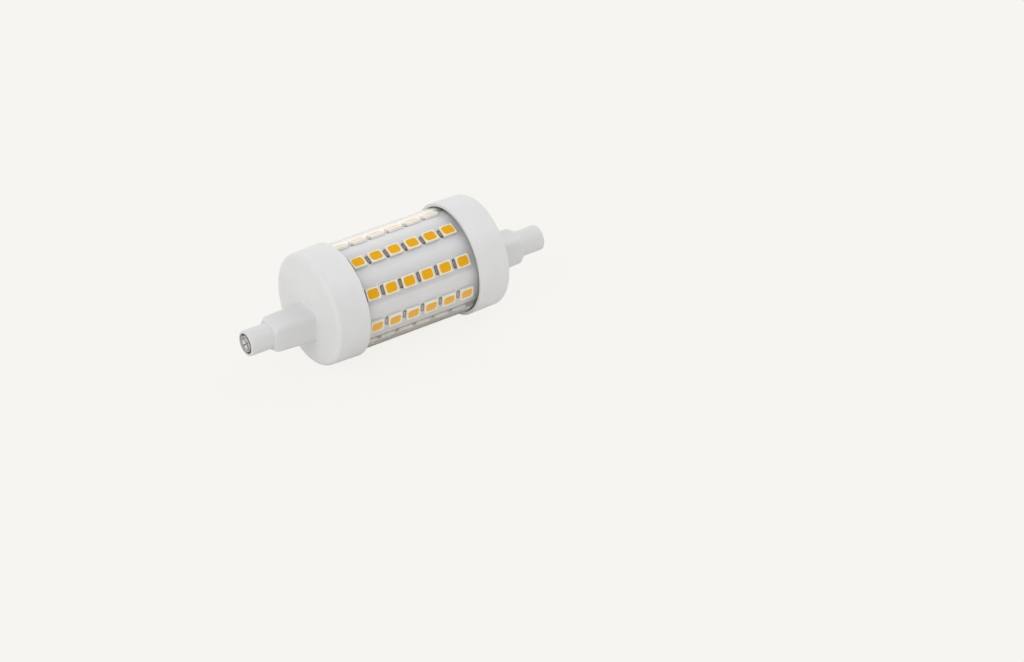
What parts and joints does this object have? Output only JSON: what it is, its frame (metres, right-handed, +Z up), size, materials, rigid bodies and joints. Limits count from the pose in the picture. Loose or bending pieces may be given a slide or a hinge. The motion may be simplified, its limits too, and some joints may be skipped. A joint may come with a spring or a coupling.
{
  "type": "linear led bulb",
  "caption": "Double-ended tubular LED lamp: a clear tube over rows of LEDs on a rolled board, white end caps with eccentric square necks, and round noses with recessed contacts.",
  "frame": {"origin": "on the tube's axis, half way between the two nose ends; the centre of the lamp's box", "axes": "+X along the lamp towards the right end in the picture, +Z up; both noses are dropped towards -Z"},
  "size_m": [0.078, 0.0264, 0.0264],
  "materials": {
    "cap_plastic": "satin white moulded plastic",
    "contact_metal": "bright nickel plate",
    "clear_cover": "clear and smooth",
    "board_white": "white solder mask, semi-matt",
    "led_housing": "cream moulded housing",
    "led_phosphor": "yellow phosphor in silicone",
    "solder": "dull tinned solder",
    "core_metal": "plain drawn tube",
    "driver_laminate": "green solder mask",
    "chip_black": "black moulded package",
    "capacitor_sleeve": "dark shrink sleeve",
    "resistor_coat": "beige cement coat",
    "varistor_coat": "blue epoxy coat",
    "wire_sleeve": "white insulated wire"
  },
  "bodies": {
    "root": {"left_end_cap": "cap_plastic", "right_end_cap": "cap_plastic", "left_contact": "contact_metal", "right_contact": "contact_metal", "clear_tube": "clear_cover", "led_board": "board_white", "led_packages": "led_housing", "led_phosphors": "led_phosphor", "solder_joints": "solder", "terminal_joints": "solder", "board_core": "core_metal", "driver_board": "driver_laminate", "bridge_rectifier": "chip_black", "current_regulators": "chip_black", "chip_resistors": "chip_black", "smoothing_capacitor": "capacitor_sleeve", "fuse_resistor": "resistor_coat", "varistor": "varistor_coat", "left_lead_wire": "wire_sleeve", "right_lead_wire": "wire_sleeve", "feed_wires": "wire_sleeve"}
  },
  "joints": []
}
